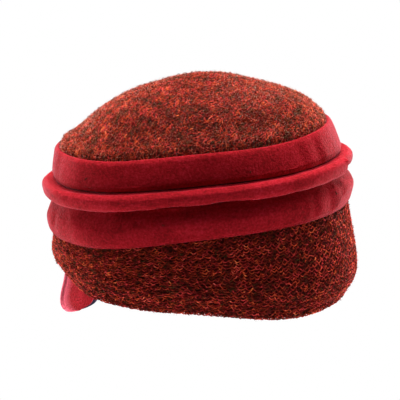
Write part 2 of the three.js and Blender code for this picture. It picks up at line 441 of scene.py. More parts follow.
navyLook = {
    "sheen": 0.05,
    "sheenTint": (0.7, 0.6, 1, 1),
    "grain": 400,
    "grainContrast": 0.5,
    "stops": ((0.35, (0.008, 0.006, 0.018)), (0.65, (0.03, 0.022, 0.05))),
}


def yarnMaterial(name, look, shift):
    # the shift makes the whole yarn lighter or darker
    material, tree, shader = newMaterial(name, look)
    where = objectPlace(tree)
    flecks = noise(tree, where, look["fleck"])
    strength = look["fleckStrength"]
    lighter = multiplyAdd(tree, flecks, strength, shift - strength / 2)
    mixed = total(tree, attributeShade(tree, "shade"), lighter)
    side = field(tree, "ShaderNodeMapRange", {
        "Value": noise(tree, where, look["patch"]),
        "From Min": look["crimsonFrom"], "From Max": look["crimsonTo"],
    })
    colour = mixColours(tree, side, ramp(tree, mixed, look["rust"]), ramp(tree, mixed, look["crimson"]))
    tree.links.new(colour, shader.inputs["Base Color"])
    roughen(tree, shader, look["twistStrength"], look["twistDepth"], flecks)
    return material


def plainMaterial(name, look):
    # coloured by its grain, or by each hair's shade
    material, tree, shader = newMaterial(name, look)
    if "grain" in look:
        factor = noise(tree, objectPlace(tree), look["grain"], 3, look["grainContrast"])
    else:
        factor = attributeShade(tree, "shade")
    tree.links.new(ramp(tree, factor, look["stops"]), shader.inputs["Base Color"])
    return material


felt = feltMaterial("crimson felt", feltLook)
# a lighter copy of the felt for the roll: painted light for the top light that the roll catches, as well as
# rubbed felt
litRollFelt = feltMaterial("crimson felt, rubbed and painted lit", {
    **feltLook, "dark": (0.21, 0.004, 0.007), "middle": (0.34, 0.006, 0.012), "light": (0.45, 0.014, 0.028),
})
# the tab's felt has more sheen, and is painted paler pink near its fold, partly for rubbed nap and partly as
# painted highlight
tabFelt = feltMaterial("crimson felt, brushed, fold painted lit", {**feltLook, "sheen": 0.7, "rubbedAndLitPink": (0.72, 0.11, 0.16, 1)})
crownYarn = yarnMaterial("boucle yarn of the crown", {**yarnLook, "sheen": 0.45}, 0.04)
brimYarn = yarnMaterial("boucle yarn of the brim", {**yarnLook, "sheen": 0.03}, 0.05)
# the crown's fluff is painted paler and pinker than the brim's, standing in for the haze that the top light
# gives the crown at grazing angles
paintedHazeFluff = plainMaterial("pale wool fluff, painted haze", {
    **fluffLook, "sheen": 1.0,
    "stops": ((0.0, (0.30, 0.12, 0.075)), (0.4, (0.66, 0.32, 0.22)), (1.0, (0.90, 0.62, 0.50))),
})
rustFluff = plainMaterial("rust wool fluff", {
    **fluffLook, "sheen": 0.05,
    "stops": ((0.0, (0.05, 0.012, 0.008)), (0.5, (0.30, 0.03, 0.02)), (1.0, (0.60, 0.12, 0.06))),
})
ground = plainMaterial("boucle ground", groundLook)
navy = plainMaterial("navy felt", navyLook)
print("materials mixed")


def clothGrid(name, points, flat):
    # an open sheet with its flat place, in metres, as the map "flat"
    cloth = newPiece(name, points.reshape(-1, 3), gridFaces(*points.shape[:2]))
    layer = cloth.data.uv_layers.new(name="flat")
    corners = np.zeros(len(cloth.data.loops), dtype=np.int32)
    cloth.data.loops.foreach_get("vertex_index", corners)
    layer.data.foreach_set("uv", flat.reshape(-1, 2)[corners].astype(np.float32).ravel())
    return cloth


def surfaceSample(tree, cloth, value, uv, place):
    return addNode(tree, "GeometryNodeSampleUVSurface", {
        "Mesh": cloth, "Value": value, "UV Map": uv, "Sample UV": place,
    }, data_type="FLOAT_VECTOR")


def position(tree):
    return field(tree, "GeometryNodeInputPosition")


def vectorOf(tree, **parts):
    return field(tree, "ShaderNodeCombineXYZ", parts)


def aboutZero(tree, value):
    return maths(tree, "SUBTRACT", value, 0.5)


def tube(tree, curve, thickness):
    # three-sided, because there are many
    ring = field(tree, "GeometryNodeCurvePrimitiveCircle", {"Resolution": 3, "Radius": 1.0})
    return field(tree, "GeometryNodeCurveToMesh", {
        "Curve": curve, "Profile Curve": ring, "Scale": thickness, "Fill Caps": True,
    })


def finishSmooth(tree, geometry, material):
    smooth = field(tree, "GeometryNodeSetShadeSmooth", {"Geometry": geometry})
    return finishTree(tree, smooth, material)


def namedField(tree, name, kind="FLOAT"):
    return field(tree, "GeometryNodeInputNamedAttribute", {"Name": name}, data_type=kind)


def storeField(tree, geometry, name, value, kind="FLOAT", domain="POINT"):
    return field(tree, "GeometryNodeStoreNamedAttribute", {
        "Geometry": geometry, "Name": name, "Value": value,
    }, data_type=kind, domain=domain)


knitRhythm = {  # noise in a metre, and how much of each goes into the yarn
    "driftScale": 170.0,
    "bobScale": 420.0,
    "runScale": 150.0,
    "fleckScale": 500.0,
    "patchScale": 260.0,
    "broadScale": 90.0,
    "rowShift": 0.37,  # how unlike each row is to the one below
    "lean": 0.6,  # sideways swing of a wave, in parts of its height
    "bob": 3.2,  # rise and fall, in thicknesses
    "beat": 0.35,
    "runShare": 0.24,
    "fleckShare": 0.28,
    "patchShare": 0.24,
    "darkest": 0.38,
    "lightest": 0.62,
    "thinnest": 0.2,
    "slub": 1.6,  # how much thicker the yarn gets
}


def buildKnitTree(rhythm):
    tree, given = newTree("knit rows", Vector=["Start"], Int=["Rows", "Stitches"], Float=[
        "Row Pitch", "Step", "Wave Length", "Wave Height", "Thickness", "Lift", "Stray", "Stagger", "Drift",
        "Clusters", "Seed",
    ])
    # straight rows on the flat cloth, each point numbered with its row
    starts = field(tree, "GeometryNodeMeshLine", {
        "Count": given["Rows"], "Start Location": given["Start"],
        "Offset": vectorOf(tree, Y=given["Row Pitch"]),
    })
    line = field(tree, "GeometryNodeMeshLine", {
        "Count": given["Stitches"], "Offset": vectorOf(tree, X=given["Step"]),
    })
    placed = field(tree, "GeometryNodeInstanceOnPoints", {"Points": starts, "Instance": line})
    number = field(tree, "GeometryNodeInputIndex")
    numbered = storeField(tree, placed, "row", number, domain="INSTANCE")
    rows = field(tree, "GeometryNodeRealizeInstances", {"Geometry": numbered})

    # the yarn's wander: a wave that drifts out of step, and slow strays up, down and along
    x, y = addNode(tree, "ShaderNodeSeparateXYZ", {0: position(tree)}).outputs[:2]
    row = namedField(tree, "row")
    seeded = vectorOf(tree, X=x, Y=product(tree, row, rhythm["rowShift"]), Z=given["Seed"])
    drifts = noise(tree, seeded, rhythm["driftScale"], result="Color")
    outOfStep, strayUp, strayAcross = addNode(tree, "ShaderNodeSeparateXYZ", {0: drifts}).outputs[:3]
    turn = product(tree, maths(tree, "DIVIDE", x, given["Wave Length"]), 2 * math.pi)
    turn = multiplyAdd(tree, row, given["Stagger"], turn)
    turn = multiplyAdd(tree, outOfStep, given["Drift"], turn)
    strayUp = product(tree, aboutZero(tree, strayUp), given["Stray"])
    strayAcross = product(tree, aboutZero(tree, strayAcross), given["Stray"])
    lean = product(tree, maths(tree, "COSINE", turn), product(tree, given["Wave Height"], rhythm["lean"]))
    wave = product(tree, maths(tree, "SINE", turn), given["Wave Height"])
    across = total(tree, total(tree, x, strayAcross), lean)
    flat = vectorOf(tree, X=across, Y=total(tree, total(tree, y, strayUp), wave))

    uv = namedField(tree, "flat", "FLOAT_VECTOR")
    onCloth = surfaceSample(tree, given["Geometry"], position(tree), uv, flat)
    normal = field(tree, "GeometryNodeInputNormal")
    facing = surfaceSample(tree, given["Geometry"], normal, uv, flat).outputs["Value"]
    beat = product(tree, maths(tree, "SINE", product(tree, turn, 2.0)), rhythm["beat"])
    bob = aboutZero(tree, noise(tree, seeded, rhythm["bobScale"], 1.0))
    bob = multiplyAdd(tree, bob, rhythm["bob"], beat)
    lift = multiplyAdd(tree, given["Thickness"], bob, given["Lift"])
    target = field(tree, "ShaderNodeVectorMath", {
        0: onCloth.outputs["Value"], 1: scaled(tree, facing, lift),
    }, operation="ADD")

    # the shade that the yarn has there: long runs of a colour with short flecks in them
    run = noise(tree, seeded, rhythm["runScale"])
    fleck = noise(tree, seeded, rhythm["fleckScale"], 1.0)
    patch = noise(tree, position(tree), rhythm["patchScale"])
    broad = noise(tree, position(tree), rhythm["broadScale"], 1.0)
    runs, flecks = product(tree, run, rhythm["runShare"]), product(tree, fleck, rhythm["fleckShare"])
    shade = total(tree, runs, flecks)
    shade = multiplyAdd(tree, patch, rhythm["patchShare"], shade)
    shade = multiplyAdd(tree, broad, given["Clusters"], shade)
    shares = rhythm["runShare"] + rhythm["fleckShare"] + rhythm["patchShare"]
    shade = maths(tree, "DIVIDE", shade, total(tree, given["Clusters"], shares))
    shade = field(tree, "ShaderNodeMapRange", {
        "Value": shade, "From Min": rhythm["darkest"], "From Max": rhythm["lightest"],
    })
    slubs = multiplyAdd(tree, fleck, rhythm["slub"], rhythm["thinnest"])

    # the rows are laid on the cloth, and what falls beyond it is cut away
    marked = storeField(tree, rows, "shade", shade)
    marked = storeField(tree, marked, "swell", product(tree, given["Thickness"], slubs))
    valid = onCloth.outputs["Is Valid"]
    off = field(tree, "FunctionNodeBooleanMath", {0: valid}, operation="NOT")
    marked = storeField(tree, marked, "off", off, "BOOLEAN")
    moved = field(tree, "GeometryNodeSetPosition", {"Geometry": marked, "Position": target})
    kept = field(tree, "GeometryNodeDeleteGeometry", {
        "Geometry": moved, "Selection": namedField(tree, "off", "BOOLEAN"),
    }, domain="POINT")
    strands = field(tree, "GeometryNodeMeshToCurve", {"Mesh": kept})
    return finishSmooth(tree, tube(tree, strands, namedField(tree, "swell")), given["Material"])


fuzzSpread = {
    "shortest": 0.45,  # in parts of the longest hair
    "darkest": 0.1,
    "lightest": 0.85,
    "seeds": (11, 5, 7),  # added to the layer's own, for swing, size and shade
}


def buildFuzzTree(spread):
    tree, given = newTree(
        "fuzz", Float=["Density", "Length", "Thickness", "Lean", "Taper"], Int=["Bends", "Seed"],
        Vector=["First Handle", "Last Handle", "Tip"],
    )

    swingSeed, sizeSeed, shadeSeed = spread["seeds"]

    def between(low, high, seed):
        return addNode(tree, "FunctionNodeRandomValue", {
            2: low, 3: high, "Seed": total(tree, given["Seed"], seed),
        }, data_type="FLOAT").outputs[1]

    scattered = addNode(tree, "GeometryNodeDistributePointsOnFaces", {
        "Mesh": given["Geometry"], "Density": given["Density"], "Seed": given["Seed"],
    })
    hair = field(tree, "GeometryNodeCurvePrimitiveBezierSegment", {
        "Resolution": given["Bends"], "Start": (0, 0, 0), "Start Handle": given["First Handle"],
        "End Handle": given["Last Handle"], "End": given["Tip"],
    })
    factor = addNode(tree, "GeometryNodeSplineParameter").outputs["Factor"]
    thinning = maths(tree, "SUBTRACT", 1.0, product(tree, factor, given["Taper"]))
    fibre = tube(tree, hair, product(tree, thinning, given["Thickness"]))
    swing = addNode(tree, "FunctionNodeRandomValue", {
        "Min": (-1, -1, 0), "Max": (1, 1, 0), "Seed": total(tree, given["Seed"], swingSeed),
    }, data_type="FLOAT_VECTOR").outputs["Value"]
    turned = field(tree, "FunctionNodeRotateRotation", {
        0: scattered.outputs["Rotation"], 1: scaled(tree, swing, given["Lean"]),
    }, rotation_space="LOCAL")
    size = product(tree, between(spread["shortest"], 1.0, sizeSeed), given["Length"])
    planted = field(tree, "GeometryNodeInstanceOnPoints", {
        "Points": scattered.outputs[0], "Instance": fibre, "Rotation": turned, "Scale": size,
    })
    shade = between(spread["darkest"], spread["lightest"], shadeSeed)
    return finishTree(tree, storeField(tree, planted, "shade", shade, domain="INSTANCE"), given["Material"])


def buildNapTree():
    tree, given = newTree("nap", Float=["Depth", "Size", "Pull", "Pull Size", "Free Reach", "Free"])
    where = position(tree)
    facing = field(tree, "GeometryNodeInputNormal")
    fine = noise(tree, where, maths(tree, "DIVIDE", 1.0, given["Size"]))
    broad = noise(tree, where, maths(tree, "DIVIDE", 1.0, given["Pull Size"]), 1)
    rise = product(tree, aboutZero(tree, fine), given["Depth"])
    rise = multiplyAdd(tree, aboutZero(tree, broad), given["Pull"], rise)
    # felt lies still where it is sewn down and moves fully past the free reach, or all over if it hangs free
    loose = maths(tree, "DIVIDE", namedField(tree, "reach"), given["Free Reach"])
    loose = total(tree, loose, given["Free"])
    rise = product(tree, rise, maths(tree, "MINIMUM", loose, 1.0))
    moved = field(tree, "GeometryNodeSetPosition", {
        "Geometry": given["Geometry"], "Offset": scaled(tree, facing, rise),
    })
    return finishSmooth(tree, moved, given["Material"])


knitTree = buildKnitTree(knitRhythm)
fuzzTree = buildFuzzTree(fuzzSpread)
napTree = buildNapTree()
print("node trees built")


def weld(piece, distance):
    # merges doubled points, and drops the empty faces and loose edges that this leaves
    shape = bmesh.new()
    shape.from_mesh(piece.data)
    bmesh.ops.remove_doubles(shape, verts=shape.verts, dist=distance)
    bmesh.ops.dissolve_degenerate(shape, edges=shape.edges, dist=weldDistance)
    bmesh.ops.delete(shape, geom=[edge for edge in shape.edges if not edge.link_faces], context="EDGES")
    shape.to_mesh(piece.data)
    shape.free()


def settle(piece, node, material=None):
    if material:
        piece.data.materials.clear()
        piece.data.materials.append(material)
    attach(piece, "root")
    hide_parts(node)


def growFelt(name, plain, node, nap, finish):
    piece = grow(name, plain, napTree, {**nap, "Material": finish})
    dropCarrier(plain)
    settle(piece, node)
    return piece


hairFacts = {  # a fine hair, its bends in parts of its length
    "Length": 0.0022, "Thickness": 0.03, "Lean": 1.2, "Bends": 1, "First Handle": (0, 0, 0.4),
    "Last Handle": (0.05, 0, 0.8), "Tip": (0.35, 0, 1), "Taper": 0.8,
}
curlFacts = {  # a loose loop of yarn
    "Length": 0.0024, "Thickness": 0.11, "Lean": 0.5, "Bends": 5, "First Handle": (0.9, 0.2, 0.35),
    "Last Handle": (0.7, 0.9, 0.35), "Tip": (-0.1, 0.7, 0.02), "Taper": 0.2,
}


def coverWool(node, cloth, box, settings, yarn, fluff):
    # what grows on the wool's face: knitted rows over the whole flat box, fine hairs and loose curls
    (left, bottom), (right, top) = box
    knit = settings["knit"]
    layers = (
        ("knit", knitTree, {
            **knit, "Start": (left, bottom, 0.0), "Rows": int((top - bottom) / knit["Row Pitch"]) + 1,
            "Stitches": int((right - left) / knit["Step"]) + 1, "Material": yarn,
        }),
        ("fuzz", fuzzTree, {**settings["hairs"], "Material": fluff}),
        ("curls", fuzzTree, {**settings["curls"], "Material": yarn}),
    )
    for layer, tree, values in layers:
        settle(grow(f"{node}_{layer}", cloth, tree, values), node)
    dropCarrier(cloth)


crownFacts = {
    "around": 240,
    "shellAround": 120,
    "skirtLevels": 14,
    "domeLevels": 46,
    "clothLevels": 60,
    "wall": 3.0,
    "sunk": 0.7,  # the ground lies this far under the yarn
    "faceSunk": 0.5,
    "swell": 1.6,  # the wool bulges over the band's upper edge
    "swellLevel": 0.2,  # above the seam
    "swellReach": 0.22,
    "knit": {
        "Row Pitch": 0.0015, "Step": 0.00075, "Wave Length": 0.0030, "Wave Height": 0.0011,
        "Thickness": 0.00038, "Lift": 0.0, "Stray": 0.0045,
        "Stagger": 2.4,  # each row's stitches start this much later than those of the row below
        "Drift": 22.0,  # how far the stitches of a row fall out of step
        "Clusters": 0.36,  # how much the shade gathers in broad patches
        "Seed": 3.1,
    },
    "hairs": {**hairFacts, "Lean": 0.5, "Density": 420000.0, "Seed": 5},
    "curls": {**curlFacts, "Density": 100000.0, "Seed": 6},
}


def domeCloth(settings):
    # the dome as a round cloth: its flat map keeps lengths from the top, and rows run from side to side
    angles = np.arange(settings["around"] + 1) / settings["around"] * 2 * math.pi
    levels = np.linspace(at["seam"] - 0.12, at["apex"] - 0.01, settings["clothLevels"])
    swell = settings["swell"] * bell(levels - at["seam"] - settings["swellLevel"], settings["swellReach"])
    points = wallPoint(angles[:, None], levels[None, :], swell[None, :] - settings["faceSunk"])
    steps = np.linalg.norm(np.diff(points, axis=1), axis=-1)
    fromTop = np.cumsum(steps[:, ::-1], axis=1)[:, ::-1]
    fromTop = np.concatenate([fromTop, np.zeros((len(angles), 1))], axis=1)
    flat = np.stack([fromTop * np.sin(angles)[:, None], fromTop * np.cos(angles)[:, None]], -1)
    return clothGrid("crownCloth", points, flat), flat


def makeCrown(settings):
    sunk, wall = -settings["sunk"], -settings["wall"]
    skirt = np.linspace(at["waist"] + 0.02, at["seam"], settings["skirtLevels"])
    dome = np.linspace(at["seam"] + 0.06, at["apex"], settings["domeLevels"])
    levels = np.concatenate([skirt, dome])
    section = [(level, sunk, 0) for level in levels] + [(level, wall, 0) for level in levels[::-1]]
    shell = ringPiece("crown_ground", section, settings["shellAround"])
    weld(shell, 0.1 * mm)
    settle(shell, "crown", ground)
    cloth, flat = domeCloth(settings)
    reach = np.abs(flat).reshape(-1, 2).max(axis=0)
    coverWool("crown", cloth, (-reach, reach), settings, crownYarn, paintedHazeFluff)


makeCrown(crownFacts)
print("crown made")


brimFacts = {
    "around": 300,
    "shellAround": 150,
    "shellHemSteps": 13,
    "clothHemSteps": 8,
    "levels": 34,
    "wall": 5.0,
    "sunk": 0.9,
    "hidden": 3.0,  # the ground thins to this under the band
    "knit": {
        "Row Pitch": 0.0017, "Step": 0.00075, "Wave Length": 0.0039, "Wave Height": 0.0008,
        "Thickness": 0.00044, "Lift": 0.0001, "Stray": 0.0020, "Stagger": 0.3, "Drift": 15.0,
        "Clusters": 0.14, "Seed": 8.7,
    },
    "hairs": {**hairFacts, "Density": 290000.0, "Seed": 9},
    "curls": {**curlFacts, "Density": 45000.0, "Seed": 10},
}


def hemRows(outer, inner, turns):
    # the rounded hem, from the outer face round below to the inner one
    middle, half = (outer + inner) / 2, (outer - inner) / 2
    return [(at["rim"], middle - half * math.cos(t), -half * math.sin(t)) for t in turns]


def brimCloth(settings):
    # the brim as a strip, joined at the far side: rows run round it, from inside the hem up to the band
    angles = math.pi / 2 + np.arange(settings["around"] + 1) / settings["around"] * 2 * math.pi
    turns = np.linspace(0.1, 1, settings["clothHemSteps"])[:-1] * math.pi
    hem = hemRows(0, -settings["wall"], turns)
    face = [(level, 0, 0) for level in np.linspace(at["rim"], at["foot"] + 0.1, settings["levels"])]
    rows = np.array(hem + face)
    points = wallPoint(angles[:, None], rows[None, :, 0], rows[None, :, 1], rows[None, :, 2])
    up = np.linalg.norm(np.diff(points, axis=1), axis=-1).mean(axis=0)
    along = np.linalg.norm(np.diff(points[:, len(rows) // 2], axis=0), axis=-1)
    up, along = (np.concatenate([[0], np.cumsum(lengths)]) for lengths in (up, along))
    flat = np.stack(np.broadcast_arrays(along[:, None], up[None, :]), -1)
    return clothGrid("brimCloth", points, flat), flat


def makeBrim(settings):
    sunk, wall = -settings["sunk"], -settings["wall"]
    hem = hemRows(sunk, wall, np.linspace(0, math.pi, settings["shellHemSteps"]))
    levels = np.linspace(at["rim"] + 0.04, at["foot"] + 0.5, settings["levels"])
    section = hem + [(level, sunk, 0) for level in levels]
    section += [(at["waist"], sunk, -0.2), (at["waist"], -settings["hidden"], -0.2)]
    section += [(level, wall, 0) for level in levels[::-1]]
    shell = ringPiece("brim_ground", section, settings["shellAround"])
    settle(shell, "brim", ground)
    cloth, flat = brimCloth(settings)
    flat = flat.reshape(-1, 2)
    coverWool("brim", cloth, (flat.min(axis=0), flat.max(axis=0)), settings, brimYarn, rustFluff)


makeBrim(brimFacts)
print("brim made")


bandFacts = {
    "around": 500,
    "smoothing": 5,  # points of a section from one of its rows to the next
    "gap": 0.3,  # from the wool
    "crease": 0.6,  # the room between the roll and the bands
    "tuckAbove": 5.2,  # the roll's reach above and below its level
    "tuckBelow": 6.6,
    "footTurn": 1.6,
    "lapAngle": math.radians(-20),  # where the roll's end laps over its start
    "lapEdge": math.radians(3.0),  # how far its end is rounded off
    "lapSteps": 27,
    "lapSlim": 0.3,
    "lapShallow": 0.24,
    "lapReach": math.radians(26),
    "nub": 0.12,
    "nubBack": math.radians(1.6),
    "nubAlong": 2.5,
    "nubReach": 2,
    "lapLip": 0.06,
    "lipReach": math.radians(6),
    "foldsFrom": 4,  # folds are full this far out from the wool, in millimetres
    "folds": (  # angle round from the front, reach, depth in millimetres
        (-46, 2.0, -0.35), (-41, 2.4, 0.3), (-35, 2.0, -0.45), (-30, 2.6, 0.3), (-112, 6, -0.4),
        (-141, 4, 0.4), (-158, 3, -0.4), (38, 3, -0.5), (50, 3, 0.4), (97, 5, -0.5), (128, 3, 0.5),
        (136, 3, -0.6), (165, 4, 0.4),
    ),
    "plumped": ("piping", "band_lower"),
    "plump": {
        # felt is sewn down up to the first reach, lies still to the second and moves fully from the third,
        # by the cap at most
        "sewnReach": 1.0, "stillReach": 3.0, "freeReach": 7.0, "cap": 0.9, "frames": 20,
        "cloth": {
            "quality": 5, "mass": 0.3, "use_pressure": True, "uniform_pressure_force": 1.5,
            "shrink_min": -0.008, "tension_stiffness": 15, "compression_stiffness": 15,
            "bending_stiffness": 1.0,
        },
    },
    "nap": {
        "Depth": 0.00035, "Size": 0.0016, "Pull": 0.0011, "Pull Size": 0.022, "Free Reach": 4.5, "Free": 0.0,
    },
}


def bandSections(settings):
    # the rows of each closed section: level, out from the wool and along it, in millimetres
    keys = "gap", "crease", "tuckAbove", "tuckBelow", "footTurn"
    gap, crease, above, below, turn = (settings[key] for key in keys)
    seam, foot, waist = at["seam"], at["foot"], at["waist"]
    high, deep = above + crease, -below - crease
    upper = [
        (tuckLevel, gap, high), (tuckLevel, 2.8, high), (tuckLevel, 4.1, above + 3.4),
        (seam - 0.5, 4.7, 0), (seam - 0.25, 4.5, 0),
        (seam, 4, -3.4), (seam, 3.3, -1), (seam, 2.3, 0), (seam, 1.2, -0.3), (seam, gap, -1.6),
        (seam - 0.25, gap, 0), (seam - 0.5, gap, 0),
    ]
    piping = [
        (tuckLevel, out, along) for out, along in (
            (gap, -below + 0.9), (3.5, -below + 0.7), (6.8, -6.1), (9.6, -4), (11.1, -0.2), (10.6, 3.2),
            (8.2, 5.2), (4.5, above - 0.8), (gap, above - 1),
        )
    ]
    lower = [
        (foot, gap, -turn), (foot, 2.2, -1.2), (foot, 3.2, 0), (foot + 0.12, 4.3, 0),
        (foot + 0.32, 5.3, 0), (foot + 0.52, 5.6, 0), (foot + 0.72, 4.9, 0), (foot + 0.86, 3.5, 0),
        (tuckLevel, 2.2, deep), (tuckLevel, gap, deep), (waist, gap, 0), (foot + 0.5, gap, 0),
    ]
    return {"band_upper": upper, "piping": piping, "band_lower": lower}


def fromAngle(angle, centre):
    # how far round from the centre, from minus half a turn to half a turn
    return (angle - centre + math.pi) % (2 * math.pi) - math.pi


def shapeTuck(settings):
    def shaping(angle, out, along):
        # the roll's rounded end laps over its start, which is slimmer and sits higher
        past = fromAngle(angle, settings["lapAngle"])
        beyond = 1 - np.sqrt(1 - np.clip(past / settings["lapEdge"] + 1, 0, 1) ** 2)
        slim = beyond * np.exp(-np.maximum(past, 0) / settings["lapReach"])
        lip = settings["lapLip"] * (1 - beyond) * bell(past, settings["lipReach"])
        depth = 1 - settings["lapShallow"] * slim + lip
        top = settings["tuckAbove"]
        # the raw end turns up into a small nub
        fromEnd = ((past + settings["nubBack"]) / settings["nubBack"]) ** 2
        nub = np.exp(-fromEnd - ((along - settings["nubAlong"]) / settings["nubReach"]) ** 2)
        out = settings["gap"] + (out - settings["gap"]) * (depth + settings["nub"] * nub)
        return out, top - (top - along) * (1 - settings["lapSlim"] * slim)
    return shaping


def shapeFolds(settings):
    def shaping(angle, out, along):
        # soft upright folds where the felt is eased round the head
        fold = sum(depth * bell(fromAngle(angle, math.radians(turn)), math.radians(reach))
                   for turn, reach, depth in settings["folds"])
        share = np.clip((out - settings["gap"]) / settings["foldsFrom"], 0, 1)
        return out + fold * share, along
    return shaping


def coordinates(mesh):
    flat = np.empty(len(mesh.vertices) * 3)
    mesh.vertices.foreach_get("co", flat)
    return flat.reshape(-1, 3)


def plump(piece, settings):
    # the felt is blown up a little and eased, so that it puckers, while its inner face stays sewn down
    reach = np.empty(len(piece.data.vertices))
    piece.data.attributes["reach"].data.foreach_get("value", reach)
    sewn = piece.vertex_groups.new(name="sewn")
    sewn.add([int(k) for k in np.flatnonzero(reach < settings["sewnReach"])], 1.0, "REPLACE")
    modifier = piece.modifiers.new("cloth", "CLOTH")
    cloth = modifier.settings
    cloth.vertex_group_mass = "sewn"
    for key, value in settings["cloth"].items():
        setattr(cloth, key, value)
    cloth.effector_weights.gravity = 0
    modifier.collision_settings.use_collision = False
    scene = bpy.context.scene
    for step in range(1, settings["frames"] + 1):
        scene.frame_set(step)
    before = coordinates(piece.data)
    moved = coordinates(evaluated(piece).data) - before
    piece.modifiers.remove(modifier)
    scene.frame_set(1)
    still, free = settings["stillReach"], settings["freeReach"]
    share = np.clip((reach - still) / (free - still), 0, 1)
    length = np.linalg.norm(moved, axis=1)
    limit = settings["cap"] * mm * share
    moved *= (np.minimum(length, limit) / np.maximum(length, leastMove))[:, None]
    piece.data.vertices.foreach_set("co", (before + moved).ravel())
    piece.data.update()
    piece.vertex_groups.clear()


def makeBand(settings):
    made = {}
    # the roll's end is steep, so the ring is finer there
    lapped = settings["lapAngle"] + np.linspace(-1.1, 0.2, settings["lapSteps"]) * settings["lapEdge"]
    roll, bands = (shapeTuck(settings), lapped, litRollFelt), (shapeFolds(settings), (), felt)
    for name, section in bandSections(settings).items():
        shaping, extra, finish = roll if name == "piping" else bands
        section = smoothSection(section, settings["smoothing"])
        plain = ringPiece(name + "Plain", section, settings["around"], shaping, extra)
        if name in settings["plumped"]:
            plump(plain, settings["plump"])
        made[name] = growFelt(name + "_felt", plain, name, settings["nap"], finish)
    return made


band = makeBand(bandFacts)
print("felt band made")


tabFacts = {
    "edge": math.radians(131.5),  # where its open edge hangs, seen from above
    "curve": 100,  # radius of the wool there
    "lean": 0.11,  # how far it stands off for each millimetre of drop
    "leaf": 1.3,  # thicknesses of a leaf and of the insert, and the room on either side of it
    "insert": 1.0,
    "slotGap": 0.3,
    "gap": 0.3,
    "pinch": 0.4,  # radius of the slot at the fold, where the felt is pressed together
    "taper": 4,  # the slot opens to its full width this far from the fold
    "nap": {**bandFacts["nap"], "Depth": 0.0002, "Pull": 0.0006, "Free": 1.0},
    "insertNap": {**bandFacts["nap"], "Depth": 0.0001, "Pull": 0.0, "Free": 1.0},
    "rubAndHighlightReach": 11,  # the felt is painted paler pink this far from the fold: partly rubbed nap, partly painted highlight where light catches the fold
    "insertStart": 6,  # from the fold
    "showsInner": 5.8,  # how much of the insert the two leaves leave bare
    "showsOuter": 1.0,
    "narrow": 6,  # a tab this wide shows next to none of it, and one wider by the next number all
    "widening": 16,
    "leastShown": 0.1,
    "foldSteps": 13,
    "leafSteps": 30,
    "insertSteps": 18,
    "rows": (  # level, drop below it, how far round its fold and its open edge are
        (2.0, 2.5, 36, 2), (1.7, 0, 38, 1), (1.35, 0, 39.5, 0.5), (1, 0, 40.5, 0), (1, 12, 41.5, 0),
        (1, 24, 41.5, 0), (1, 32, 42.5, 0), (1, 38, 44.3, 0.2), (1, 43, 45.4, 0.8), (1, 47, 45, 1.6),
        (1, 50.5, 43.5, 2.8), (1, 53.6, 40.6, 5), (1, 55.4, 38, 8), (1, 56.8, 35.4, 12.5),
        (1, 57.7, 32.6, 17.5), (1, 58.3, 29.6, 22.5),
    ),
    "steps": 5,
}


def tabPoints(settings, rows, inwards, out):
    # a point of the tab: how far from its open edge towards its fold, and how far out from the wool
    level, drop = rows[:, None, 0], rows[:, None, 1]
    angle = settings["edge"] + inwards / settings["curve"]
    outwards = wallPoint(angle, level, 1.0) - wallPoint(angle, level, 0.0)
    outwards[..., 2] = 0
    point = wallPoint(angle, level, out) + unit(outwards) * (settings["lean"] * drop * mm)[..., None]
    point[..., 2] -= drop * mm
    return point


def fineRows(settings, rows):
    # an open run of rows, made finer along a smooth curve
    rows = np.array(rows, float)
    t = np.linspace(0, len(rows) - 1, (len(rows) - 1) * settings["steps"] + 1)
    low = np.minimum(np.floor(t).astype(int), len(rows) - 2)
    padded = np.vstack([2 * rows[0] - rows[1], rows, 2 * rows[-1] - rows[-2]])
    return curveThrough([padded[low + k] for k in range(4)], (t - low)[:, None])


def loftPiece(name, points):
    # rows of closed sections, joined and closed off at both ends
    rows, size = points.shape[:2]
    faces = gridFaces(rows, size, closed=True)
    end = (rows - 1) * size
    for k in range(size // 2 - 1):
        other = size - 1 - k
        faces.append([k, k + 1, other - 1, other])
        faces.append([end + other, end + other - 1, end + k + 1, end + k])
    return newPiece(name, points.reshape(-1, 3), faces)


def foldedFaces(settings, rows):
    # each row's closed section: one face of the felt from edge to edge round the fold, then the other
    fold, edge = rows[:, 2:3], rows[:, 3:4]
    leaf, slot = settings["leaf"], settings["insert"] + 2 * settings["slotGap"]
    flatRise, foldRise = (leaf + slot) / 2, leaf / 2 + settings["pinch"]
    centre = fold - leaf / 2 - foldRise
    turn = np.linspace(0.5, 1.5, settings["foldSteps"])[None, 1:-1] * math.pi
    t = np.linspace(0, 1, settings["leafSteps"])[None, :]
    # the insert shows less where the tab ends
    share = np.clip((fold - edge - settings["narrow"]) / settings["widening"], settings["leastShown"], 1)

    def leafLine(shows, side):
        inwards = (edge + share * shows) * (1 - t) + centre * t
        fall = np.clip((centre - inwards) / settings["taper"], 0, 1)
        return inwards, side * (flatRise + (foldRise - flatRise) * (1 + np.cos(math.pi * fall)) / 2)

    outer, inner = leafLine(settings["showsOuter"], 1), leafLine(settings["showsInner"], -1)
    bend = (centre - foldRise * np.cos(turn), foldRise * np.sin(turn) * np.ones_like(centre))
    line = [np.hstack([outer[k], bend[k], inner[k][:, ::-1]]) for k in (0, 1)]
    along = [np.gradient(part, axis=1) for part in line]
    length = np.hypot(*along)
    across = (along[1] / length * leaf / 2, -along[0] / length * leaf / 2)
    inwards, out = (np.hstack([line[k] - across[k], (line[k] + across[k])[:, ::-1]]) for k in (0, 1))
    return inwards, out + settings["gap"] + leaf + slot / 2


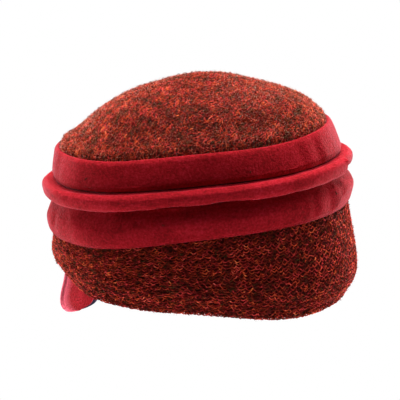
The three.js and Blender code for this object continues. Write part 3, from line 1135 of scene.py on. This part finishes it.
def makeTab(settings):
    rows = fineRows(settings, settings["rows"])
    inwards, out = foldedFaces(settings, rows)
    plain = loftPiece("tabPlain", tabPoints(settings, rows, inwards, out))
    # how much paler pink to paint the felt near the fold: rubbed nap and painted highlight together
    rubAndHighlight = np.clip(1 - (rows[:, 2:3] - inwards) / settings["rubAndHighlightReach"], 0, 1) ** 1.5
    plain.data.attributes.new("rubAndHighlight", "FLOAT", "POINT").data.foreach_set("value", rubAndHighlight.ravel())
    folded = growFelt("tab_felt", plain, "tab", settings["nap"], tabFelt)

    covered = fineRows(settings, settings["rows"][1:-1])
    t = np.linspace(0, 1, settings["insertSteps"])[None, :]
    there = covered[:, 3:4] * (1 - t) + (covered[:, 2:3] - settings["insertStart"]) * t
    low = settings["leaf"] + settings["slotGap"] + settings["gap"]
    inwards = np.hstack([there, there[:, ::-1]])
    out = np.hstack([np.full_like(there, low + settings["insert"]), np.full_like(there, low)])
    plain = loftPiece("insertPlain", tabPoints(settings, covered, inwards, out))
    insert = growFelt("tab_insert_felt", plain, "tab_insert", settings["insertNap"], navy)
    return folded, insert


pillFacts = {
    "places": (  # angle round from the front, level, out and along in millimetres, size
        (180, 4.02, 1.2, 1.2, 2.0), (186, 0.12, 0.5, -4.2, 2.3), (-62, 1.5, 0.6, 0, 1.3),
        (-118, 0.3, 0.5, 0, 1.2),
    ),
    "fineness": 3,
    "lumps": ((0.28, 40, 1), (0.12, 95, 0)),  # height, how close together, and whether each pill's differ
}
lintFacts = {
    "places": (  # angle, level, out and along, length and how it lies
        (-134, 3.62, 5.2, 0, 2.3, 0.5), (-32, 2.58, 6.3, 0, 2.4, 2.0), (-71, 3.55, 5.1, 0, 1.3, 1.2),
        (-101, 2.55, 6.3, 0, 1.4, 2.6),
    ),
    "thickness": 0.42,
    "steps": 7,
    "bow": 0.3,  # how far it bends, in parts of its length
    "rise": 0.4,
    "bandRadius": 100,
}


def makePills(settings):
    # small balls of rubbed wool on the boucle
    vertices, faces = [], []
    for angle, level, out, along, size in settings["places"]:
        ball = bmesh.new()
        bmesh.ops.create_icosphere(ball, subdivisions=settings["fineness"], radius=size * mm / 2)
        centre = wallPoint(math.radians(angle), level, out, along)
        start = len(vertices)
        for corner in ball.verts:
            spot = np.array(corner.co) / mm
            lumpy = 1
            for height, closeness, own in settings["lumps"]:
                lumpy = lumpy + height * dents(spot * closeness + own * angle)
            vertices.append(centre + np.array(corner.co) * lumpy)
        faces += [[start + corner.index for corner in face.verts] for face in ball.faces]
        ball.free()
    pills = newPiece("wool_pills", vertices, faces)
    settle(pills, "brim", brimYarn)


def makeLint(settings):
    # bits of dark wool that cling to the felt
    data = bpy.data.curves.new("lint", "CURVE")
    data.dimensions = "3D"
    data.bevel_depth = settings["thickness"] * mm
    data.bevel_resolution = 1
    data.use_fill_caps = True
    for angle, level, out, along, length, lie in settings["places"]:
        spline = data.splines.new("POLY")
        steps = np.linspace(-0.5, 0.5, settings["steps"])
        bow = settings["bow"] * np.cos(steps * math.pi)
        sideways = length * (steps * math.cos(lie) - bow * math.sin(lie))
        upwards = length * (steps * math.sin(lie) + bow * math.cos(lie))
        spline.points.add(len(steps) - 1)
        for point, side, up, lift in zip(spline.points, sideways, upwards, bow):
            turn = math.radians(angle) + side / settings["bandRadius"]
            point.co = (*wallPoint(turn, level, out + lift * settings["rise"], along + up), 1)
    carrier = link("lintCarrier", data)
    mesh = bakedMesh("lint", carrier)
    bpy.data.objects.remove(carrier)
    lint = link("lint", mesh)
    weld(lint, weldDistance)
    settle(lint, "band_upper", ground)


makePills(pillFacts)
makeLint(lintFacts)
print("pills and lint strewn")


tab, tabInsert = makeTab(tabFacts)
print("tab made")


studioFacts = {
    "floorDrop": 0.45,  # under the hat's lowest point
    "floorRadius": 0.6,
    "floorSides": 96,
    "floorLook": {"roughness": 0.9},
    "floorColour": (0.93, 0.93, 0.93, 1),
    "sideLight": 2.0,  # from both sides; a higher spread is a narrower light
    "sideSpread": 12.0,
    "topLight": 13.0,
    "topSpread": 7.0,
    "topLean": (0.0, 0.28, 0.96),
    "frontLight": 0.062,  # from all round
    "softboxes": (  # place, size, watts
        ((-1.0, 0.70, -0.34), 0.8, 24),
        ((1.0, 0.90, -0.12), 0.8, 18),
        ((1.0, 0.84, -0.3), 0.4, 16),
        ((-1.0, -0.10, -0.50), 0.4, 1.0),
        ((0.0, 1.2, 0.3), 0.8, 3),
    ),
}


def makeStudio(settings):
    z = cadBox[0][2] - settings["floorDrop"]
    radius, sides = settings["floorRadius"], settings["floorSides"]
    turns = np.arange(sides) / sides * 2 * math.pi
    edge = [(radius * math.cos(turn), radius * math.sin(turn), z) for turn in turns]
    floor = newPiece("floor", edge, [list(range(sides))], smooth=False)
    material, tree, shader = newMaterial("pale floor", settings["floorLook"])
    shader.inputs["Base Color"].default_value = settings["floorColour"]
    floor.data.materials.append(material)

    world = bpy.data.worlds.new("studio")
    world.use_nodes = True
    bpy.context.scene.world = world
    tree = world.node_tree
    tree.nodes.clear()
    direction = addNode(tree, "ShaderNodeTexCoord").outputs["Generated"]
    parts = addNode(tree, "ShaderNodeSeparateXYZ", {0: direction})
    side = maths(tree, "POWER", maths(tree, "ABSOLUTE", parts.outputs[0]), settings["sideSpread"])
    above = addNode(tree, "ShaderNodeVectorMath", {
        0: direction, 1: settings["topLean"],
    }, operation="DOT_PRODUCT").outputs["Value"]
    above = maths(tree, "POWER", maths(tree, "MAXIMUM", above, 0.0), settings["topSpread"])
    level = multiplyAdd(tree, side, settings["sideLight"], settings["frontLight"])
    level = multiplyAdd(tree, above, settings["topLight"], level)
    white = (1, 1, 1, 1)
    lighting = field(tree, "ShaderNodeBackground", {"Color": white, "Strength": level})
    seen = field(tree, "ShaderNodeBackground", {"Color": white, "Strength": 1.0})
    cameraRay = addNode(tree, "ShaderNodeLightPath").outputs["Is Camera Ray"]
    mixed = field(tree, "ShaderNodeMixShader", {0: cameraRay, 1: lighting, 2: seen})
    addNode(tree, "ShaderNodeOutputWorld", {"Surface": mixed})
    aim = Vector(cameraSettings["aim"])
    for number, (place, size, watts) in enumerate(settings["softboxes"]):
        data = bpy.data.lights.new(f"softbox{number}", "AREA")
        data.size = size
        data.energy = watts
        lamp = link(f"softbox{number}", data)
        lamp.location = place
        lamp.rotation_euler = (aim - lamp.location).to_track_quat("-Z", "Y").to_euler()
        lamp.visible_camera = False
    bpy.context.scene.view_settings.view_transform = "Standard"


makeStudio(studioFacts)
print("floor and light placed")
